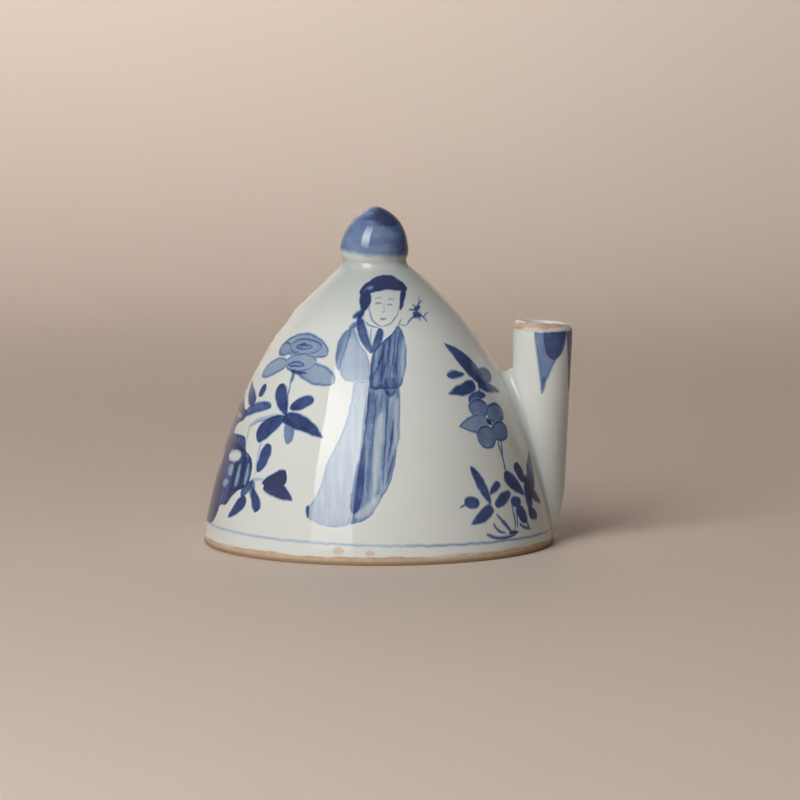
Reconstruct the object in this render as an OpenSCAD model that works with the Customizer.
/* [Body] */
// Diameter of the foot
foot_d = 89; // [70:0.2:110]
// Height of the wall, from the foot to the seat of the neck
body_h = 70.2; // [56:0.1:88]
// Lean of the wall at the foot, in degrees from upright
foot_lean = 8.5; // [5:0.1:12]
// Radius of the lower part of the wall's curve
flank_r = 142; // [115:1:175]
// Height at which the lower curve gives way to the tighter upper one
knee_h = 38; // [30:1:46]
// Thickness of the wall
wall = 3; // [2:0.1:4]
// Thickness of the closed crown under the neck
crown_t = 5; // [3:0.1:8]
// Lean of the whole pot away from the spout, in degrees
pot_lean = 0.9; // [0:0.1:2]
// Bevel round the outside of the foot
foot_bevel = 0.9; // [0.4:0.1:1.4]

/* [Base] */
// Thickness of the base plate
base_t = 3.5; // [2.5:0.1:5]
// Diameter of the filling hole
hole_d = 14; // [10:0.1:18]

/* [Filling tube] */
// Height of the tube's top above the foot
tube_top = 52; // [40:0.5:54]
// Bore of the tube at its top
tube_bore_d = 8; // [6:0.1:10]
// Thickness of the tube's wall
tube_wall = 2.2; // [1.5:0.1:3]

/* [Knob] */
// Diameter of the neck
neck_d = 16; // [12:0.1:20]
// Length of the neck below the bud
neck_l = 0.8; // [0.4:0.1:3]
// How far the bud swells past the neck, all round
bud_swell = 0.65; // [0.2:0.05:1.5]
// Radius of the bud's upper curve
bud_curve = 11.5; // [10:0.1:14]
// Radius of the bud's under side
bud_under = 4; // [3:0.1:5]
// Radius of the rounded tip
tip_r = 1.4; // [0.8:0.1:2]

/* [Spout] */
// Height of the mouth above the foot
mouth_h = 55.8; // [46:0.1:62]
// How far the axis stands inside the foot's edge, at the mouth
spout_in = 3.2; // [1:0.1:4]
// Lean of the spout away from the pot, in degrees
spout_lean = 1.35; // [0:0.05:3]
// Outside diameter at the mouth
spout_d = 15.2; // [13:0.1:18]
// Outside diameter that the taper would reach at foot level
spout_foot_d = 12.7; // [11.5:0.1:14]
// Bore at the mouth
bore_d = 9; // [7:0.1:10]
// Straight length of the bore below the mouth
bore_land = 12; // [8:0.5:16]
// Bore that the taper would reach at foot level
bore_foot_d = 6.4; // [5:0.1:7]
// Rounding of the lip
lip_r = 1.2; // [0.6:0.1:1.4]
// Height below which the root is drawn in to the foot
root_h = 19; // [15:0.5:24]
// Radius of the drawn-in root
root_r = 42; // [36:1:52]
// Diameter of the port through the wall
port_d = 6.4; // [4:0.1:7]
// Height of the port above the foot
port_h = 17; // [14:0.5:22]

/* [Luting] */
// Radius of the slip fillet above the spout
web_r = 2.2; // [1.4:0.1:2.8]
// Radius of the slip fillet at the spout's foot
web_foot_r = 1.2; // [0.8:0.1:1.4]
// Thickness of the slip between the knob and the crown
slip_t = 0.6; // [0.4:0.1:1]
// Radius of the slip fillet under the knob
knob_fillet = 3; // [2:0.1:4]
// Radius of the slip fillet between base and wall
base_fillet = 3; // [2:0.1:4]
// Radius of the slip fillet round the filling tube
tube_fillet = 2.5; // [1.5:0.1:4]

/* [Hidden] */
$fn = 180;

// Colours of the glaze, the blue, the slip and the bare clay
GLAZE = "#dfe3dc";
BLUE = "#5570a8";
SLIP = "#d3d8d0";
CLAY = "#d9c3a4";

foot_r = foot_d / 2;
neck_r = neck_d / 2;
bud_r = neck_r + bud_swell;
// Spare length by which cutting solids run past what they cut
over = 4;
// How deep a slip fillet bites into the pieces that it joins
bite = 0.08;
// How far the slip under the knob is drawn below the seat, before the wall is cut from it
seat_depth = 1;
// Facets of the wall's two long arcs in the preview mesh
LONG_FACETS = 720;

// Unit vector along a vector, and one in the plane of the section at an angle
function unit(v) = v / norm(v);
function ray(angle) = [cos(angle), sin(angle)];

// The wall's section is two arcs that share a tangent at the knee
flank_c = [foot_r, 0] - flank_r * ray(foot_lean);
knee_lean = asin((knee_h - flank_c[1]) / flank_r);
knee_p = flank_c + flank_r * ray(knee_lean);
to_neck = [neck_r, body_h] - knee_p;
shoulder_r = -(to_neck * to_neck) / (2 * to_neck * ray(knee_lean));
shoulder_c = knee_p - shoulder_r * ray(knee_lean);

// Radius of the wall's outside at a height, in the pot's own leaning frame
function wall_r(z) = z < knee_h
    ? flank_c[0] + sqrt(pow(flank_r, 2) - pow(z - flank_c[1], 2))
    : shoulder_c[0] + sqrt(pow(shoulder_r, 2) - pow(z - shoulder_c[1], 2));

// The spout's place: its axis meets the mouth here
mouth = [foot_r - spout_in, 0, mouth_h];
spout_dir = [sin(spout_lean), 0, cos(spout_lean)];
spout_out = [cos(spout_lean), 0, -sin(spout_lean)];
spout_l = mouth_h / cos(spout_lean);
spout_slope = (spout_d - spout_foot_d) / 2 / spout_l;
// Outer edge of the spout where its root starts to draw in
root_edge = mouth[0] - (mouth_h - root_h) * tan(spout_lean)
    + spout_d / 2 - (mouth_h - root_h) * spout_slope;

// Place on the knob's axis, above the neck's seat
bud_h = neck_l + sqrt(pow(bud_under, 2) - pow(bud_under - bud_swell, 2));

// The web of slip over the spout: the angle round the spout at which it starts,
// the turn between its sections, and the steps along each section's two sides
WEB_START = 56;
WEB_TURN = 4;
WALL_STEPS = 3;
ARC_STEPS = 6;
// Halvings that place the web's sections
HALVINGS = 20;

// Puts a solid of revolution on the pot's leaning axis
module on_pot_axis() {
    rotate([0, -pot_lean, 0]) children();
}

// Puts a solid on the spout's axis, with the mouth at zero and the root below
module on_spout_axis() {
    translate(mouth) rotate([0, spout_lean, 0]) children();
}

// Everything below the table
module below_foot() {
    translate([-foot_d, -foot_d, -2 * over]) cube([2 * foot_d, 2 * foot_d, 2 * over]);
}

// Section of the pot, drawn in by an inset and cut level at a height
module pot_section(inset, top) {
    split = knee_h - inset * sin(knee_lean);
    intersection() {
        translate(flank_c) circle(flank_r - inset, $fn = LONG_FACETS);
        translate([0, -over]) square([foot_r + over, split + over]);
    }
    intersection() {
        translate(shoulder_c) circle(shoulder_r - inset, $fn = LONG_FACETS);
        translate([0, split]) square([foot_r, top - split]);
    }
}

// The pot's outer form as one solid
module pot_solid() {
    on_pot_axis() rotate_extrude() pot_section(0, body_h);
}

// The space inside the wall, open through the foot
module chamber_solid() {
    on_pot_axis() rotate_extrude() pot_section(wall, body_h - crown_t);
}

// Outside of the spout, before it is cut to the wall
module spout_solid() {
    intersection() {
        on_spout_axis() rotate_extrude() {
            polygon([
                [0, -spout_l], [spout_foot_d / 2, -spout_l], [spout_d / 2, -lip_r],
                [spout_d / 2 - lip_r, 0], [0, 0]
            ]);
            translate([spout_d / 2 - lip_r, -lip_r]) circle(lip_r);
        }
        rotate_extrude() {
            translate([0, root_h]) square([foot_d, body_h]);
            intersection() {
                translate([root_edge - root_r, root_h]) circle(root_r);
                square([foot_d, root_h]);
            }
        }
    }
}

// Bore of the spout: straight at the mouth, tapered below, with a rounded edge
module spout_bore() {
    on_spout_axis() rotate_extrude() {
        polygon([
            [0, -spout_l], [bore_foot_d / 2, -spout_l], [bore_d / 2, -bore_land],
            [bore_d / 2, over], [0, over]
        ]);
        difference() {
            translate([bore_d / 2, -lip_r]) square([lip_r, lip_r + over]);
            translate([bore_d / 2 + lip_r, -lip_r]) circle(lip_r);
        }
    }
}

// Thrown shell, closed at the crown and pierced under the spout
module body_wall() {
    color(GLAZE) difference() {
        pot_solid();
        chamber_solid();
        below_foot();
        foot_bevel_cut();
        translate([mouth[0] - spout_d, 0, port_h]) rotate([0, 90, 0])
            cylinder(h = spout_d, d = port_d);
    }
}

// Ring that takes the sharp edge off the foot
module foot_bevel_cut() {
    rotate_extrude() translate([wall_r(0) - foot_bevel, 0])
        polygon([[0, -over], [0, 0], [over, over], [over, -over]]);
}

// Disc that closes the foot, fitted to the inside of the wall
module base_plate() {
    color(CLAY) difference() {
        intersection() {
            chamber_solid();
            cylinder(h = base_t, r = foot_r);
        }
        translate([0, 0, -over]) cylinder(h = base_t + 2 * over, d = hole_d);
    }
}

// Tapered tube that stands on the base plate round the hole, with a round top
module filling_tube() {
    mid_r = tube_bore_d / 2 + tube_wall / 2;
    color(CLAY) rotate_extrude() {
        polygon([
            [hole_d / 2, base_t], [hole_d / 2 + tube_wall, base_t],
            [mid_r + tube_wall / 2, tube_top - tube_wall / 2],
            [tube_bore_d / 2, tube_top - tube_wall / 2]
        ]);
        translate([mid_r, tube_top - tube_wall / 2]) circle(d = tube_wall);
    }
}

// Section of the knob: a neck under a bud that rises to a point
module knob_section() {
    top_h = bud_h + sqrt(pow(bud_curve - tip_r, 2) - pow(bud_curve - bud_r, 2));
    tip_lean = acos((bud_curve - bud_r) / (bud_curve - tip_r));
    square([neck_r, bud_h]);
    intersection() {
        translate([bud_r - bud_under, bud_h]) circle(bud_under);
        square([bud_r, bud_h]);
    }
    intersection() {
        translate([bud_r - bud_curve, bud_h]) circle(bud_curve);
        polygon([
            [0, bud_h], [bud_r, bud_h], [bud_r, top_h],
            tip_r * ray(tip_lean) + [0, top_h], [0, top_h]
        ]);
    }
    intersection() {
        translate([0, top_h]) circle(tip_r);
        translate([0, top_h - tip_r]) square(2 * tip_r);
    }
}

// Solid bud and neck, seated on the slip over the crown
module knob() {
    color(BLUE) on_pot_axis() translate([0, 0, body_h + slip_t])
        rotate_extrude() knob_section();
}

// Slip under the knob, which also fills the corner between neck and wall and is
// hollowed there by a round tool
module knob_luting() {
    reach = shoulder_r + knob_fillet - bite;
    hollow_r = neck_r + knob_fillet - bite;
    hollow_h = shoulder_c[1] + sqrt(pow(reach, 2) - pow(hollow_r - shoulder_c[0], 2));
    hollow = [hollow_r, hollow_h];
    color(SLIP) on_pot_axis() difference() {
        rotate_extrude() difference() {
            polygon([
                [0, hollow_h], hollow, hollow + (knob_fillet + bite) * unit(shoulder_c - hollow),
                [neck_r - seat_depth, body_h - seat_depth], [0, body_h - seat_depth]
            ]);
            translate(hollow) circle(knob_fillet);
        }
        rotate_extrude() pot_section(0, body_h);
        translate([0, 0, body_h + slip_t]) cylinder(h = neck_l + over, r = neck_r);
    }
}

// The arc of the wall nearest to a point in the pot's frame: the offset from
// the arc's centre, in the plane of the section, and the arc's radius
function wall_arc(p) =
    let (q = [norm([p[0], p[1]]), p[2]],
         side = (knee_p[0] - flank_c[0]) * (q[1] - flank_c[1])
              - (knee_p[1] - flank_c[1]) * (q[0] - flank_c[0]))
    side > 0 ? [q - shoulder_c, shoulder_r] : [q - flank_c, flank_r];
function to_pot(p) = [
    p[0] * cos(pot_lean) + p[2] * sin(pot_lean), p[1],
    p[2] * cos(pot_lean) - p[0] * sin(pot_lean)
];
function from_pot(p) = [
    p[0] * cos(pot_lean) - p[2] * sin(pot_lean), p[1],
    p[2] * cos(pot_lean) + p[0] * sin(pot_lean)
];

// Distance from a point to the wall's outside, the wall's outward normal there,
// and the place at a depth in the wall that lies under the point
function wall_gap(p) = let (arc = wall_arc(to_pot(p))) norm(arc[0]) - arc[1];
function wall_normal(p) =
    let (q = to_pot(p), arc = wall_arc(q), n = unit(arc[0]), r = norm([q[0], q[1]]))
    from_pot([n[0] * q[0] / r, n[0] * q[1] / r, n[1]]);
function in_wall(p, depth) = p - (wall_gap(p) + depth) * wall_normal(p);

// A point off the spout's outside, at an angle round it and a drop below the mouth
function spout_normal(angle) = cos(angle) * spout_out + [0, sin(angle), 0];
function off_spout(angle, drop, away) = mouth - drop * spout_dir
    + (spout_d / 2 - drop * spout_slope + away) * spout_normal(angle);

// Drop at which such a point lies as far from the wall as from the spout
function meeting_drop(angle, away, low = 0, high = spout_l, turn = 0) =
    let (mid = (low + high) / 2)
    turn == HALVINGS ? mid
        : wall_gap(off_spout(angle, mid, away)) > away
            ? meeting_drop(angle, away, mid, high, turn + 1)
            : meeting_drop(angle, away, low, mid, turn + 1);

// Section of the slip at one angle round the spout: the corner, the wall's side,
// and the arc of a ball that bites into wall and spout
function slip_r(angle) = web_foot_r + (web_r - web_foot_r) * (1 - cos(angle)) / 2;
function web_section(angle) =
    let (r = slip_r(angle),
         corner = off_spout(angle, meeting_drop(angle, -bite), -bite),
         ball = off_spout(angle, meeting_drop(angle, r - bite), r - bite),
         w = wall_normal(ball), t = spout_normal(angle))
    concat(
        [corner],
        [for (i = [1:WALL_STEPS - 1])
            in_wall(corner + (ball - r * w - corner) * i / WALL_STEPS, bite)],
        [for (i = [0:ARC_STEPS]) ball - r * unit(w * (ARC_STEPS - i) + t * i)]
    );

// A point inside a section that sees its whole outline
function heart(ring) = (2 * ring[0] + ring[WALL_STEPS + ARC_STEPS / 2]) / 3;

// The web runs from one side of the spout's foot over the top to the other
module spout_web() {
    rings = [for (a = [WEB_START:WEB_TURN:360 - WEB_START]) web_section(a)];
    n = len(rings[0]);
    end = len(rings) * n;
    last = end - n;
    polyhedron(
        points = concat(
            [for (ring = rings) each ring],
            [heart(rings[0]), heart(rings[len(rings) - 1])]
        ),
        faces = concat(
            [for (j = [0:n - 1]) [end, (j + 1) % n, j]],
            [for (j = [0:n - 1]) [end + 1, last + j, last + (j + 1) % n]],
            [for (i = [0:n:last - n], j = [0:n - 1])
                let (k = (j + 1) % n) [i + j, i + n + k, i + n + j]],
            [for (i = [0:n:last - n], j = [0:n - 1])
                let (k = (j + 1) % n) [i + j, i + k, i + n + k]]
        )
    );
}

// Spout, cut away where it lies against the wall
module spout_tube() {
    color(GLAZE) difference() {
        spout_solid();
        spout_bore();
        pot_solid();
    }
}

// Web of slip over the spout and down both of its sides
module spout_luting() {
    color(SLIP) spout_web();
}

// Slip in the corner between base plate and wall, inside the chamber
module base_luting() {
    edge = wall_r(base_t) - wall;
    color(SLIP) intersection() {
        chamber_solid();
        rotate_extrude() difference() {
            translate([edge - base_fillet, base_t]) square([base_fillet + over, base_fillet]);
            translate([edge - base_fillet, base_t + base_fillet]) circle(base_fillet - bite);
        }
    }
}

// Slip round the root of the filling tube
module tube_luting() {
    root = hole_d / 2 + tube_wall;
    color(SLIP) rotate_extrude() difference() {
        translate([hole_d / 2 + tube_wall / 2, base_t]) square([tube_wall / 2 + tube_fillet, tube_fillet]);
        translate([root + tube_fillet, base_t + tube_fillet]) circle(tube_fillet);
        polygon([
            [0, base_t], [root, base_t],
            [tube_bore_d / 2 + tube_wall, tube_top - tube_wall / 2], [0, tube_top - tube_wall / 2]
        ]);
    }
}

body_wall();
base_plate();
filling_tube();
knob();
spout_tube();
knob_luting();
spout_luting();
base_luting();
tube_luting();
